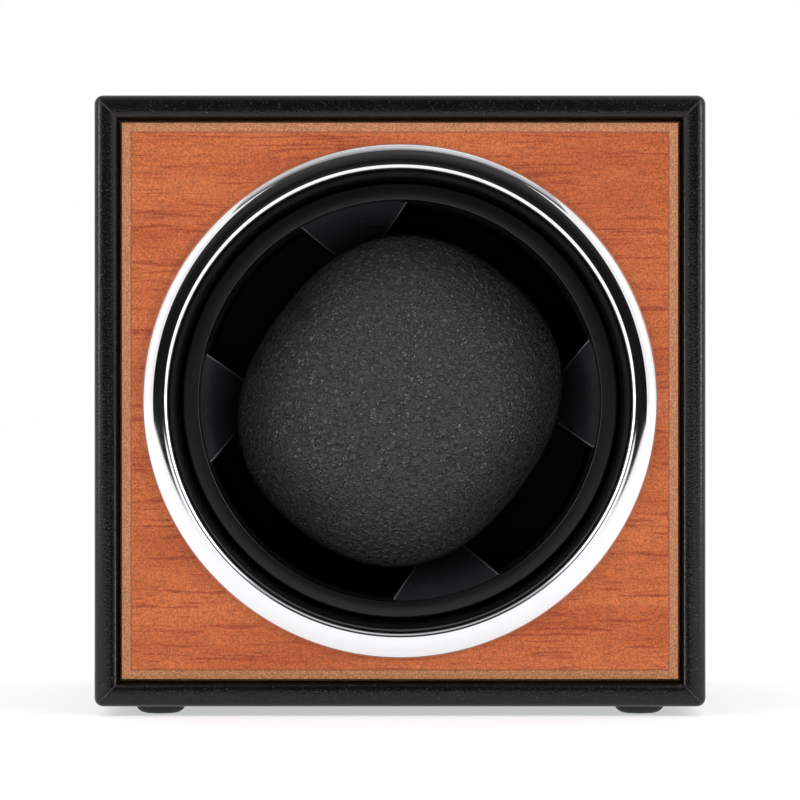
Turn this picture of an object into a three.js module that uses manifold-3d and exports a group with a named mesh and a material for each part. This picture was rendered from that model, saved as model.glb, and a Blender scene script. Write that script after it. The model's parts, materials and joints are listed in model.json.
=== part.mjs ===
// A single watch winder: a leatherette box with a wood front, and a cup that a small geared motor turns.
// Millimetres, +Z up. The front faces -Y, and z = 0 is the surface that the feet stand on.

import * as THREE from 'three';
import { mergeVertices } from 'three/addons/utils/BufferGeometryUtils.js';
import Module from 'manifold-3d';

const wasm = await Module();
wasm.setup();

// ---- Driving dimensions -------------------------------------------------------------------------

const DEPTH = 130;              // ring to back edge
const CASE_HALF = 57.5;         // half the width and half the height of the box
const CORNER_R = 1.5;           // rounded long edges of the wrapped box
const SKIN_T = 0.75;            // leatherette
const BOARD_T = 3;              // case boards
const FOOT_H = 1.8;
const FOOT_R = 4.7;
const RING_PROUD = 2.2;         // chrome ring in front of the wood
const PANEL_PROUD = 0.8;        // wood in front of the leather rim
const PANEL_T = 5;
const PANEL_HALF = 52.3;
const CHAMFER_W = 1.9;          // chamfer on the wood panel's edge, across and deep
const CHAMFER_D = 1.3;
const RING_OUTER_R = 48.5;
const RING_CREST_R = 44.5;
const RING_INNER_R = 43.5;
const RING_NECK_R = 45.2;       // part of the ring inside the wood panel's hole
const HOUSING_R = 43.5;         // drum housing's outside
const FLANGE_R = 50;
const FLANGE_SCREW_XZ = 33.2;   // its screws stand this far from the axis, both ways
const BRACKET_SCREW_X = 19;
const LINER_R = 41.7;           // bore that the cup turns in
const CUP_R = 41.1;
const CUP_RIM_R = 38;           // inner edge of the cup's rim
const STRAP_ARM_HALF = 21.7;    // half widths of the recess's two arms
const CROSS_ARM_HALF = 15;
const BOWL_DEEP = 52;           // the bowl's curve, if it went on to the axis
const BOWL_SWEEP = 60;          // degrees of that curve that there are
const CUP_WALL = 2.2;
const SEAT_GAP = 0.5;           // between the cup and the pillow
const STRAP_TILT = 53;          // degrees from +X towards +Z: the way a strap runs round the pillow
const PILLOW = { along: 31.8, across: 29, deep: 22 };   // half sizes
const PILLOW_ROUNDNESS = 2.4;   // 2 is an ellipsoid, and more is closer to a box
const COVER_T = 1;
const GEAR_MODULE = 1;
const GEAR_TEETH = 48;
const PINION_TEETH = 12;
const PINION_PHASE = 0.5;       // in teeth: a gap of the pinion faces a tooth of the drive gear
const PRESSURE_ANGLE = 20;      // degrees
const BACKLASH = 0.16;
const ROCKER_TILT = 7;          // degrees, either side of level
const SHAFT_R = 3;
const BUSH_FIT = 0.1;
const BOSS = { r: 8, bore: 5 }; // round the shaft, on the drum housing's rear wall
const HUB_R = 18;
const HUB_SCREW_R = 13;         // the circle that its screws stand on
const MOTOR_R = 10.5;
const GEARBOX_R = 12;
const OUTPUT_R = 2;             // the gearbox's output shaft
const LEAD_R = 0.9;
const KNOB_R = 8.5;
const JACK_R = 3.9;             // the power inlet's barrel, and its bore and centre pin
const JACK_BORE_R = 2.9;
const JACK_PIN_R = 1;
const LED_R = 1.5;
const FOOT_X = 45.5;            // a foot's middle, from the box's middle
const FOOT_FLAT_R = 3;

// ---- Places worked out from them ----------------------------------------------------------------

const AXIS_Z = FOOT_H + CASE_HALF;                  // height of the cup's axis
const BACK_Y = DEPTH / 2;
const PANEL_Y = -DEPTH / 2 + RING_PROUD;            // wood panel's front face
const RIM_Y = PANEL_Y + PANEL_PROUD;                // leather rim's front face
const RIM_W = 2 * SKIN_T + BOARD_T;                 // width of the leather rim
const RIM_HALF = CASE_HALF - RIM_W;                 // opening between the rims
const BOARD_IN = RIM_HALF + SKIN_T;                 // inner faces of the boards
const BOARD_OUT = CASE_HALF - SKIN_T;
const LIP_L = 6;                                    // how far the wrap turns in, at the front and back
const FLANGE_Y = PANEL_Y + PANEL_T + 1.3;           // drum housing's flange, front face
const FLANGE_T = 2;
const BAFFLE_Y = FLANGE_Y + FLANGE_T;
const BAFFLE_T = 4;
const CUP_FRONT_Y = PANEL_Y + 5.5;
const CUP_FLOOR_Y = -4;
const LEDGE_Y = -18;                                // floor of the cross arm
const CUP_BACK_Y = CUP_FLOOR_Y + 2.5;
const HUB_BACK_Y = CUP_BACK_Y + 4;
const WALL_Y = 6.5;                                 // housing's rear wall, front face
const WALL_BACK_Y = WALL_Y + 3;
const BOSS_BACK_Y = 30;
const GEAR_Y = [37, 41.5];
const PINION_Y = [36.6, 42];
const SHAFT_END_Y = 45;
const GEAR_DISTANCE = GEAR_MODULE * (GEAR_TEETH + PINION_TEETH) / 2;
const MOTOR_Z = AXIS_Z - GEAR_DISTANCE;
const GEARBOX_Y = [24.5, 33.5];
const BRACKET_T = 1.2;
const PANEL_BACK_Y = [BACK_Y - 10, BACK_Y - 7];     // back panel, sunk so that the controls are guarded
const BOARD_Y = [45.5, 47.1];                       // circuit board
const CONTROL_Z = 34;                               // height of the row of controls
const KNOB_X = -21;
const ROCKER_X = 1;
const JACK_X = 21;
const LED_X = -37;
const PILLOW_Y = CUP_FRONT_Y + 0.6 + PILLOW.deep;   // pillow's middle
const { degToRad } = THREE.MathUtils;

// ---- Shape helpers ------------------------------------------------------------------------------

// A closed geometry, as position only and with shared vertices merged.
function closed(geometry) {
  const bare = geometry.clone();
  bare.deleteAttribute('normal');
  bare.deleteAttribute('uv');
  const merged = mergeVertices(bare, 1e-4);
  const index = merged.getIndex().array;
  const kept = [];
  for (let i = 0; i < index.length; i += 3) {
    const [a, b, c] = [index[i], index[i + 1], index[i + 2]];
    if (a !== b && b !== c && c !== a) kept.push(a, b, c);
  }
  merged.setIndex(kept);
  return merged;
}

function solid(geometry) {
  const g = closed(geometry);
  return new wasm.Manifold(new wasm.Mesh({
    numProp: 3,
    vertProperties: new Float32Array(g.attributes.position.array),
    triVerts: new Uint32Array(g.getIndex().array),
  }));
}

function cut(body, ...tools) {
  return surface(tools.reduce((rest, tool) => rest.subtract(solid(tool)), solid(body)));
}

function join(body, ...others) {
  return surface(others.reduce((sum, other) => sum.add(solid(other)), solid(body)));
}

function common(body, other) {
  return surface(solid(body).intersect(solid(other)));
}

function surface(manifold) {
  const mesh = manifold.getMesh();
  const points = new Float32Array(mesh.numVert * 3);
  for (let i = 0; i < mesh.numVert; i += 1) {
    for (let k = 0; k < 3; k += 1) points[3 * i + k] = mesh.vertProperties[mesh.numProp * i + k];
  }
  const geometry = new THREE.BufferGeometry();
  geometry.setAttribute('position', new THREE.BufferAttribute(points, 3));
  geometry.setIndex(new THREE.BufferAttribute(new Uint32Array(mesh.triVerts), 1));
  return geometry;
}

function box([x0, x1], [y0, y1], [z0, z1]) {
  const g = new THREE.BoxGeometry(x1 - x0, y1 - y0, z1 - z0);
  return g.translate((x0 + x1) / 2, (y0 + y1) / 2, (z0 + z1) / 2);
}

// A turned piece about +Y. The outline runs anticlockwise as [radius, y].
function turned(outline, segments = 48) {
  return new THREE.LatheGeometry(outline.map(([r, y]) => new THREE.Vector2(r, y)), segments);
}

function rod(radius, [y0, y1], segments = 24) {
  return turned([[0, y0], [radius, y0], [radius, y1], [0, y1]], segments);
}

function tube(inner, outer, [y0, y1], segments = 24) {
  return turned([[inner, y0], [outer, y0], [outer, y1], [inner, y1], [inner, y0]], segments);
}

// A flat shape drawn in X and Z, filling the depths from y0 to y1.
function plate(shape, [y0, y1], curveSegments = 4) {
  const g = new THREE.ExtrudeGeometry(shape, { depth: y1 - y0, bevelEnabled: false, curveSegments });
  return g.rotateX(Math.PI / 2).translate(0, y1, 0);
}

function roundedSquare(half, radius) {
  const s = new THREE.Shape();
  const c = half - radius;
  s.absarc(c, c, radius, 0, Math.PI / 2);
  s.absarc(-c, c, radius, Math.PI / 2, Math.PI);
  s.absarc(-c, -c, radius, Math.PI, 3 * Math.PI / 2);
  s.absarc(c, -c, radius, 3 * Math.PI / 2, 2 * Math.PI);
  return s;
}

function squareBlock(half, span) {
  return box([-half, half], span, [-half, half]);
}

// A pan-head screw along Y, its head's underside at y = 0 and its thread towards -Y.
function screw(headR, headT, threadR, length) {
  return turned([[0, -length], [threadR, -length], [threadR, 0], [headR, 0], [headR, 0.5 * headT],
    [0.75 * headR, headT], [0, headT]], 12);
}

// ---- The object ---------------------------------------------------------------------------------

const winder = new THREE.Group();

const FINISH = {
  leather: { color: 0x1b191a, roughness: 0.5, metalness: 0 },
  fibreboard: { color: 0x9a7653, roughness: 0.85, metalness: 0 },
  cherry: { color: 0xc1653f, roughness: 0.5, metalness: 0 },
  chrome: { color: 0xe6e6ea, roughness: 0.08, metalness: 1 },
  gloss_black: { color: 0x0c0c0d, roughness: 0.12, metalness: 0 },
  satin_black: { color: 0x1c1c1f, roughness: 0.4, metalness: 0 },
  matte_black: { color: 0x222224, roughness: 0.7, metalness: 0 },
  pillow: { color: 0x2e2c2f, roughness: 0.55, metalness: 0 },
  foam: { color: 0xb9b6ad, roughness: 0.95, metalness: 0 },
  steel: { color: 0xa9abae, roughness: 0.3, metalness: 1 },
  bronze: { color: 0xb08a4a, roughness: 0.4, metalness: 1 },
  nylon: { color: 0xe6e2d6, roughness: 0.5, metalness: 0 },
  circuit: { color: 0x1f5a38, roughness: 0.5, metalness: 0 },
  rubber: { color: 0x17171a, roughness: 0.8, metalness: 0 },
  green_lens: { color: 0x4fae5a, roughness: 0.15, metalness: 0 },
  red_lead: { color: 0xa52420, roughness: 0.5, metalness: 0 },
};

function add(parent, name, geometry, finish) {
  const mesh = new THREE.Mesh(closed(geometry), new THREE.MeshStandardMaterial(FINISH[finish]));
  mesh.name = name;
  parent.add(mesh);
  return mesh;
}

// Everything centred on the cup's axis hangs on this group.
const onAxis = new THREE.Group();
onAxis.position.z = AXIS_Z;
winder.add(onAxis);

// The four places [x, z] at the corners of a square, for what repeats there.
function corners(offset) {
  return [[-offset, -offset], [offset, -offset], [-offset, offset], [offset, offset]];
}

// ---- Case: boards, leatherette wrap, wood panel, ring -------------------------------------------

function buildCase() {
  const boards = [RIM_Y + SKIN_T, BACK_Y - SKIN_T];
  const whole = [RIM_Y, BACK_Y];
  const hidden = [RIM_Y + LIP_L, BACK_Y - LIP_L];

  const boardRoom = cut(squareBlock(BOARD_OUT, boards), squareBlock(BOARD_IN, whole));
  const wrap = cut(plate(roundedSquare(CASE_HALF, CORNER_R), whole), boardRoom,
    squareBlock(RIM_HALF, [RIM_Y - 1, BACK_Y + 1]), squareBlock(BOARD_IN, hidden));
  add(onAxis, 'leather_wrap', wrap, 'leather');

  const wide = [-BOARD_OUT, BOARD_OUT];
  const between = [-BOARD_IN, BOARD_IN];
  add(onAxis, 'board_top', box(wide, boards, [BOARD_IN, BOARD_OUT]), 'fibreboard');
  add(onAxis, 'board_bottom', box(wide, boards, [-BOARD_OUT, -BOARD_IN]), 'fibreboard');
  add(onAxis, 'board_left', box([-BOARD_OUT, -BOARD_IN], boards, between), 'fibreboard');
  add(onAxis, 'board_right', box([BOARD_IN, BOARD_OUT], boards, between), 'fibreboard');

  const baffle = [BAFFLE_Y, BAFFLE_Y + BAFFLE_T];
  const throughBaffle = [BAFFLE_Y - 1, BAFFLE_Y + BAFFLE_T + 1];
  const screwHoles = corners(FLANGE_SCREW_XZ).map(([x, z]) => rod(1.3, throughBaffle, 12).translate(x, 0, z));
  add(onAxis, 'baffle_board', cut(squareBlock(BOARD_IN, baffle), rod(HOUSING_R + 0.4, throughBaffle, 48),
    ...screwHoles), 'fibreboard');

  // A square turned on four sides gives the chamfered slab.
  const toCorner = Math.SQRT2;
  const slab = turned([
    [0, PANEL_Y], [(PANEL_HALF - CHAMFER_W) * toCorner, PANEL_Y],
    [PANEL_HALF * toCorner, PANEL_Y + CHAMFER_D], [PANEL_HALF * toCorner, PANEL_Y + PANEL_T],
    [0, PANEL_Y + PANEL_T],
  ], 4).rotateY(Math.PI / 4);
  const hole = rod(RING_NECK_R + 0.3, [PANEL_Y - 1, PANEL_Y + PANEL_T + 1], 48);
  add(onAxis, 'wood_panel', cut(slab, hole), 'cherry');
  add(onAxis, 'chrome_ring', turned(ringOutline()), 'chrome');
}

// The ring's section: a flattened quarter round from the wood up to the crest, a small bead, and a neck.
function ringOutline() {
  const steps = 6;
  const crestY = PANEL_Y - RING_PROUD;
  const beadY = crestY + (RING_CREST_R - RING_INNER_R);
  const neckY = PANEL_Y + PANEL_T;
  const outline = [[RING_INNER_R, beadY]];
  for (let i = 1; i <= 3; i += 1) {
    const a = i * Math.PI / 6;
    outline.push([RING_CREST_R - (RING_CREST_R - RING_INNER_R) * Math.cos(a),
      beadY - (beadY - crestY) * Math.sin(a)]);
  }
  for (let i = 1; i <= steps; i += 1) {
    const a = i * Math.PI / 2 / steps;
    outline.push([RING_CREST_R + (RING_OUTER_R - RING_CREST_R) * Math.sin(a),
      PANEL_Y - RING_PROUD * Math.cos(a)]);
  }
  outline.push([RING_NECK_R, PANEL_Y], [RING_NECK_R, neckY], [RING_INNER_R, neckY], [RING_INNER_R, beadY]);
  return outline;
}

// ---- Drum housing: a fixed tube with a rear wall and a bearing boss -----------------------------

function buildHousing() {
  const frontY = PANEL_Y - 0.6;
  const coneY = CUP_FRONT_Y - 0.3;
  const frontR = RING_INNER_R - 0.3;
  const shell = turned([
    [BOSS.bore, WALL_Y], [LINER_R, WALL_Y], [LINER_R, coneY], [frontR - 0.4, frontY], [frontR, frontY],
    [frontR, FLANGE_Y], [FLANGE_R, FLANGE_Y], [FLANGE_R, BAFFLE_Y], [HOUSING_R, BAFFLE_Y],
    [HOUSING_R, WALL_BACK_Y], [BOSS.r, WALL_BACK_Y], [BOSS.r, BOSS_BACK_Y], [BOSS.bore, BOSS_BACK_Y],
    [BOSS.bore, WALL_Y],
  ]);
  const throughFlange = [FLANGE_Y - 1, BAFFLE_Y + 1];
  const throughWall = [WALL_Y - 1, WALL_BACK_Y + 1];
  const holes = corners(FLANGE_SCREW_XZ).map(([x, z]) => rod(1.5, throughFlange, 12).translate(x, 0, z));
  const bracketHoles = [-1, 1].map((side) => (
    rod(1.35, throughWall, 12).translate(side * BRACKET_SCREW_X, 0, MOTOR_Z - AXIS_Z)
  ));
  add(onAxis, 'drum_housing', cut(shell, ...holes, ...bracketHoles), 'gloss_black');
  corners(FLANGE_SCREW_XZ).forEach(([x, z], i) => {
    const g = screw(2.3, 0.9, 1.1, 5.6).rotateX(Math.PI);
    add(onAxis, `flange_screw_${i + 1}`, g.translate(x, FLANGE_Y, z), 'steel');
  });

  const bore = SHAFT_R + BUSH_FIT;
  const bushR = BOSS.bore - 0.05;
  const head = { r: 6.2, t: 1.2 };
  const length = 6;
  add(onAxis, 'bush_front', turned([
    [bore, WALL_Y - head.t], [head.r, WALL_Y - head.t], [head.r, WALL_Y], [bushR, WALL_Y],
    [bushR, WALL_Y + length], [bore, WALL_Y + length], [bore, WALL_Y - head.t],
  ], 24), 'bronze');
  add(onAxis, 'bush_rear', turned([
    [bore, BOSS_BACK_Y - length], [bushR, BOSS_BACK_Y - length], [bushR, BOSS_BACK_Y],
    [head.r, BOSS_BACK_Y], [head.r, BOSS_BACK_Y + head.t], [bore, BOSS_BACK_Y + head.t],
    [bore, BOSS_BACK_Y - length],
  ], 24), 'bronze');
  add(onAxis, 'thrust_washer', tube(SHAFT_R + 0.2, 6, [WALL_Y - 1.6, WALL_Y - 1.3]), 'nylon');
}

// ---- Cup and what turns with it -----------------------------------------------------------------

// The bowl inside the cup, grown all round by a margin.
function bowl(margin) {
  const r = CUP_RIM_R + margin;
  const deep = BOWL_DEEP + margin;
  const outline = [[0, CUP_FRONT_Y - 1], [r, CUP_FRONT_Y - 1]];
  const steps = 7;
  for (let i = 0; i <= steps; i += 1) {
    const a = degToRad(BOWL_SWEEP) * i / steps;
    outline.push([r * Math.cos(a), CUP_FRONT_Y + 0.4 + deep * Math.sin(a)]);
  }
  outline.push([0, outline[outline.length - 1][1]]);
  return turned(outline);
}

// The pillow's shape: a rounded block between an ellipsoid and a box, grown by a margin.
function pillowShape(margin) {
  const g = new THREE.SphereGeometry(1, 24, 14);
  const p = g.attributes.position;
  const half = [PILLOW.along + margin, PILLOW.deep + margin, PILLOW.across + margin];
  for (let i = 0; i < p.count; i += 1) {
    const n = [p.getX(i), p.getY(i), p.getZ(i)];
    const reach = n.reduce((sum, c, k) => sum + Math.abs(c / half[k]) ** PILLOW_ROUNDNESS, 0);
    const size = reach ** (-1 / PILLOW_ROUNDNESS);
    p.setXYZ(i, n[0] * size, n[1] * size + PILLOW_Y, n[2] * size);
  }
  return g;
}

// Drawn with the strap direction along X, and then turned as a whole.
const tilted = new THREE.Group();
tilted.rotation.y = -degToRad(STRAP_TILT);
onAxis.add(tilted);

function buildCup() {
  const far = CUP_R + 5;
  const strapHalf = STRAP_ARM_HALF + CUP_WALL;
  const crossHalf = CROSS_ARM_HALF + CUP_WALL;
  const throughCup = [CUP_FRONT_Y - 2, CUP_BACK_Y + 2];
  const body = rod(CUP_R, [CUP_FRONT_Y, CUP_BACK_Y], 48);
  const strapArm = common(rod(CUP_RIM_R, [CUP_FRONT_Y - 1, CUP_FLOOR_Y], 48),
    box([-far, far], [CUP_FRONT_Y - 2, CUP_FLOOR_Y + 1], [-STRAP_ARM_HALF, STRAP_ARM_HALF]));
  const crossArm = common(rod(CUP_RIM_R, [CUP_FRONT_Y - 1, LEDGE_Y], 48),
    box([-CROSS_ARM_HALF, CROSS_ARM_HALF], [CUP_FRONT_Y - 2, LEDGE_Y + 1], [-far, far]));
  const pockets = cut(rod(CUP_R - CUP_WALL, [CUP_FRONT_Y, CUP_BACK_Y + 1], 48), bowl(CUP_WALL),
    box([-far, far], throughCup, [-strapHalf, strapHalf]),
    box([-crossHalf, crossHalf], throughCup, [-far, far]));
  const ledgeEnd = 34;
  const ledgePockets = [-1, 1].map((side) => (
    box([-CROSS_ARM_HALF + CUP_WALL, CROSS_ARM_HALF - CUP_WALL], [LEDGE_Y + CUP_WALL, CUP_BACK_Y + 1],
      side > 0 ? [strapHalf, ledgeEnd] : [-ledgeEnd, -strapHalf])
  ));
  const threadY = [CUP_FLOOR_Y + 0.5, CUP_BACK_Y + 1];
  const screwHoles = hubScrewPlaces().map(([x, z]) => rod(1.3, threadY, 12).translate(x, 0, z));
  add(tilted, 'cup', cut(body, bowl(0), strapArm, crossArm, pillowShape(SEAT_GAP), pockets, ...ledgePockets,
    ...screwHoles), 'satin_black');

  const neckY = HUB_BACK_Y + 2.1;
  const throughHub = [CUP_BACK_Y - 1, HUB_BACK_Y + 1];
  const hubHoles = hubScrewPlaces().map(([x, z]) => rod(1.5, throughHub, 12).translate(x, 0, z));
  const hub = turned([
    [0, CUP_BACK_Y], [HUB_R, CUP_BACK_Y], [HUB_R, HUB_BACK_Y - 1.5], [8, HUB_BACK_Y - 1], [6, neckY],
    [SHAFT_R + 0.1, neckY], [SHAFT_R + 0.1, CUP_BACK_Y + 1], [0, CUP_BACK_Y + 1],
  ], 24);
  add(tilted, 'cup_hub', cut(hub, ...hubHoles), 'nylon');
  hubScrewPlaces().forEach(([x, z], i) => {
    add(tilted, `hub_screw_${i + 1}`, screw(2.3, 1.2, 1.1, 3.8).translate(x, HUB_BACK_Y - 1, z), 'steel');
  });
}

function hubScrewPlaces() {
  return [30, 150, 270].map(degToRad).map((a) => [HUB_SCREW_R * Math.cos(a), HUB_SCREW_R * Math.sin(a)]);
}

function buildShaft() {
  add(onAxis, 'main_shaft', rod(SHAFT_R, [CUP_BACK_Y + 1.1, SHAFT_END_Y]), 'steel');
  add(onAxis, 'drive_gear', gear(GEAR_TEETH, GEAR_Y, SHAFT_R + 0.05, 0), 'nylon');
  add(onAxis, 'shaft_clip', tube(SHAFT_R + 0.05, 5, [GEAR_Y[1] + 0.2, GEAR_Y[1] + 1.2]), 'steel');
}

// An involute spur gear in the X-Z plane. Phase 0 puts a tooth on the -Z side, and 1/2 puts a gap there.
function gear(teeth, span, boreR, phase) {
  const pressure = degToRad(PRESSURE_ANGLE);
  const pitchR = teeth * GEAR_MODULE / 2;
  const baseR = pitchR * Math.cos(pressure);
  const tipR = pitchR + 0.75 * GEAR_MODULE;
  const rootR = pitchR - 1.05 * GEAR_MODULE;
  const involute = (a) => Math.tan(a) - a;
  const halfTooth = (r) => Math.PI / 2 / teeth - BACKLASH / 2 / pitchR + involute(pressure)
    - involute(Math.acos(Math.min(1, baseR / r)));
  const flank = [rootR, pitchR, tipR];
  const outline = new THREE.Shape();
  for (let tooth = 0; tooth < teeth; tooth += 1) {
    const middle = (tooth + phase) * 2 * Math.PI / teeth - Math.PI / 2;
    const points = [
      ...flank.map((r) => [r, middle - halfTooth(r)]),
      ...flank.slice().reverse().map((r) => [r, middle + halfTooth(r)]),
    ];
    points.forEach(([r, a], i) => {
      const draw = tooth + i === 0 ? 'moveTo' : 'lineTo';
      outline[draw](r * Math.cos(a), r * Math.sin(a));
    });
  }
  outline.closePath();
  const bore = new THREE.Path();
  bore.absarc(0, 0, boreR, 0, 2 * Math.PI, true);
  outline.holes.push(bore);
  return plate(outline, span, 24);
}

// ---- Pillow -------------------------------------------------------------------------------------

function buildPillow() {
  const gap = 0.3;
  const far = 2 * PILLOW.along;
  const shell = cut(pillowShape(0), pillowShape(-COVER_T));
  const inFront = box([-far, far], [PILLOW_Y - far, PILLOW_Y - gap / 2], [-far, far]);
  const behind = box([-far, far], [PILLOW_Y + gap / 2, PILLOW_Y + far], [-far, far]);
  add(tilted, 'pillow_front_cover', common(shell, inFront), 'pillow');
  add(tilted, 'pillow_back_cover', common(shell, behind), 'pillow');
  add(tilted, 'pillow_core', pillowShape(-COVER_T - gap), 'foam');
}

// ---- Geared motor -------------------------------------------------------------------------------

function buildDrive() {
  const drive = new THREE.Group();
  drive.position.z = MOTOR_Z;
  winder.add(drive);
  const frontY = WALL_BACK_Y + 0.4;
  const mouthY = GEARBOX_Y[1];
  add(drive, 'motor_can', turned([[0, frontY], [MOTOR_R - 1, frontY], [MOTOR_R, frontY + 1],
    [MOTOR_R, GEARBOX_Y[0]], [0, GEARBOX_Y[0]]], 32), 'steel');
  const mouth = rod(OUTPUT_R + 0.2, [mouthY - 6, mouthY + 1]);
  add(drive, 'gearbox', cut(rod(GEARBOX_R, GEARBOX_Y, 32), mouth), 'nylon');
  add(drive, 'output_shaft', rod(OUTPUT_R, [mouthY - 5.5, PINION_Y[1] + 1]), 'steel');
  add(drive, 'pinion', gear(PINION_TEETH, PINION_Y, OUTPUT_R + 0.05, PINION_PHASE), 'nylon');

  // A strap bent over the gearbox, with a foot screwed down on either side.
  const legX = GEARBOX_R + 2.5;
  const wide = [-7, 7];
  const topY = [mouthY + 0.1, mouthY + 0.1 + BRACKET_T];
  const footY = [WALL_BACK_Y, WALL_BACK_Y + BRACKET_T];
  const left = -legX;
  const strap = join(box([left, legX], topY, wide),
    box([left, left + BRACKET_T], [WALL_BACK_Y, topY[1]], wide),
    box([legX - BRACKET_T, legX], [WALL_BACK_Y, topY[1]], wide),
    box([left - 8, left + BRACKET_T], footY, wide),
    box([legX - BRACKET_T, legX + 8], footY, wide));
  const holes = [-1, 1].map((side) => (
    rod(1.5, [WALL_BACK_Y - 1, footY[1] + 1], 12).translate(side * BRACKET_SCREW_X, 0, 0)
  ));
  const shaftHole = rod(4, [topY[0] - 1, topY[1] + 1]);
  add(drive, 'motor_bracket', cut(strap, shaftHole, ...holes), 'steel');
  [-1, 1].forEach((side, i) => {
    const g = screw(2.4, 1.4, 1.1, 4).translate(side * BRACKET_SCREW_X, footY[1], 0);
    add(drive, `bracket_screw_${i + 1}`, g, 'steel');
  });

  const route = new THREE.CatmullRomCurve3([
    [0, 17, -10.9], [0, 18.5, -14], [6, 24, -17.5], [17, 33, -14], [26, 40, -6], [27, 43, -4], [27, 45.1, -4],
  ].map((p) => new THREE.Vector3(...p)));
  const section = new THREE.Shape();
  section.absarc(0, 0, LEAD_R, 0, 2 * Math.PI);
  add(drive, 'motor_lead', new THREE.ExtrudeGeometry(section,
    { extrudePath: route, steps: 20, curveSegments: 4 }), 'red_lead');
}

// ---- Back panel and controls --------------------------------------------------------------------

function buildBack() {
  const blockHalf = 5;
  const blockAt = BOARD_IN - blockHalf;
  const [inside, outside] = PANEL_BACK_Y;
  const through = [inside - 2, outside + 2];
  const hole = (r, x, z) => rod(r, through, 16).translate(x, 0, z);
  const row = CONTROL_Z - AXIS_Z;
  const screwHoles = corners(blockAt).map(([x, z]) => hole(1.5, x, z));
  const panel = cut(squareBlock(RIM_HALF - 0.3, PANEL_BACK_Y), ...screwHoles,
    hole(3.4, KNOB_X, row), hole(JACK_R + 0.3, JACK_X, row), hole(LED_R + 0.3, LED_X, row),
    box([ROCKER_X - 4.5, ROCKER_X + 4.5], through, [row - 6.8, row + 6.8]));
  add(onAxis, 'back_panel', panel, 'matte_black');

  corners(blockAt).forEach(([x, z], i) => {
    const block = squareBlock(blockHalf, [inside - 2 * blockHalf, inside]).translate(x, 0, z);
    const thread = rod(1.35, [inside - 8, inside + 1], 12).translate(x, 0, z);
    add(onAxis, `corner_block_${i + 1}`, cut(block, thread), 'fibreboard');
    add(onAxis, `back_screw_${i + 1}`, screw(2.6, 1.5, 1.1, 9).translate(x, outside, z), 'steel');
  });
}

function buildControls() {
  const controls = new THREE.Group();
  controls.position.z = CONTROL_Z;
  winder.add(controls);
  const [inside, outside] = PANEL_BACK_Y;
  const through = [inside - 3, outside + 2];
  const seat = BOARD_Y[1];
  add(controls, 'circuit_board', box([-42, 32], BOARD_Y, [-13, 11]), 'circuit');
  [[-38, -9], [28, -9]].forEach(([x, z], i) => {
    add(controls, `board_standoff_${i + 1}`, rod(2.5, [seat, inside], 6).translate(x, 0, z), 'bronze');
  });

  const switchBody = join(box([KNOB_X - 7, KNOB_X + 7], [seat, inside], [-7, 7]),
    rod(3, [inside - 1, outside + 0.2]).translate(KNOB_X, 0, 0));
  const spindleRoom = rod(1.8, [seat + 2, outside + 1]).translate(KNOB_X, 0, 0);
  add(controls, 'rotary_switch', cut(switchBody, spindleRoom), 'matte_black');
  const knobY = [outside + 0.5, BACK_Y - 0.7];
  const knob = turned([[0, seat + 2.5], [1.5, seat + 2.5], [1.5, knobY[0]], [KNOB_R, knobY[0]],
    [KNOB_R - 0.2, knobY[1] - 0.8], [KNOB_R - 1, knobY[1]], [0, knobY[1]]], 32);
  const pointer = box([-0.6, 0.6], [knobY[1] - 0.8, knobY[1] + 1], [3, 9]);
  add(controls, 'mode_knob', cut(knob, pointer).translate(KNOB_X, 0, 0), 'satin_black');

  const flangeY = outside + 1;
  const housing = join(box([ROCKER_X - 4.2, ROCKER_X + 4.2], [seat + 0.4, outside], [-6.5, 6.5]),
    box([ROCKER_X - 5.5, ROCKER_X + 5.5], [outside, flangeY], [-7.8, 7.8]));
  const well = box([ROCKER_X - 3.4, ROCKER_X + 3.4], [outside - 5, flangeY + 1], [-5.7, 5.7]);
  add(controls, 'rocker_housing', cut(housing, well), 'matte_black');
  const rocker = new THREE.Shape();
  rocker.moveTo(-5, -2.4);
  rocker.lineTo(5, -2.4);
  rocker.lineTo(5, 1.9);
  rocker.lineTo(0, 0.9);
  rocker.lineTo(-5, 1.9);
  rocker.closePath();
  const paddle = new THREE.ExtrudeGeometry(rocker, { depth: 6, bevelEnabled: false });
  paddle.translate(0, 0, -3).rotateY(Math.PI / 2).rotateX(Math.PI).rotateX(degToRad(ROCKER_TILT));
  add(controls, 'power_rocker', paddle.translate(ROCKER_X, outside, 0), 'satin_black');

  const jackFlange = { r: 5.5, y: outside + 1.2 };
  const jack = turned([
    [0, seat], [JACK_R, seat], [JACK_R, outside], [jackFlange.r, outside], [jackFlange.r, jackFlange.y],
    [JACK_BORE_R, jackFlange.y], [JACK_BORE_R, outside - 6], [JACK_PIN_R, outside - 6],
    [JACK_PIN_R, outside], [0, outside],
  ], 24);
  add(controls, 'dc_jack', jack.translate(JACK_X, 0, 0), 'matte_black');
  const nut = cut(rod(6.5, [inside - 2, inside], 6), rod(JACK_R + 0.15, through));
  add(controls, 'jack_nut', nut.translate(JACK_X, 0, 0), 'steel');
  const lamp = turned([[0, seat], [LED_R, seat], [LED_R, outside + 0.4], [LED_R - 0.4, outside + 1.1],
    [0, outside + 1.4]], 12);
  add(controls, 'indicator_led', lamp.translate(LED_X, 0, 0), 'green_lens');
}

// ---- Feet ---------------------------------------------------------------------------------------

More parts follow.
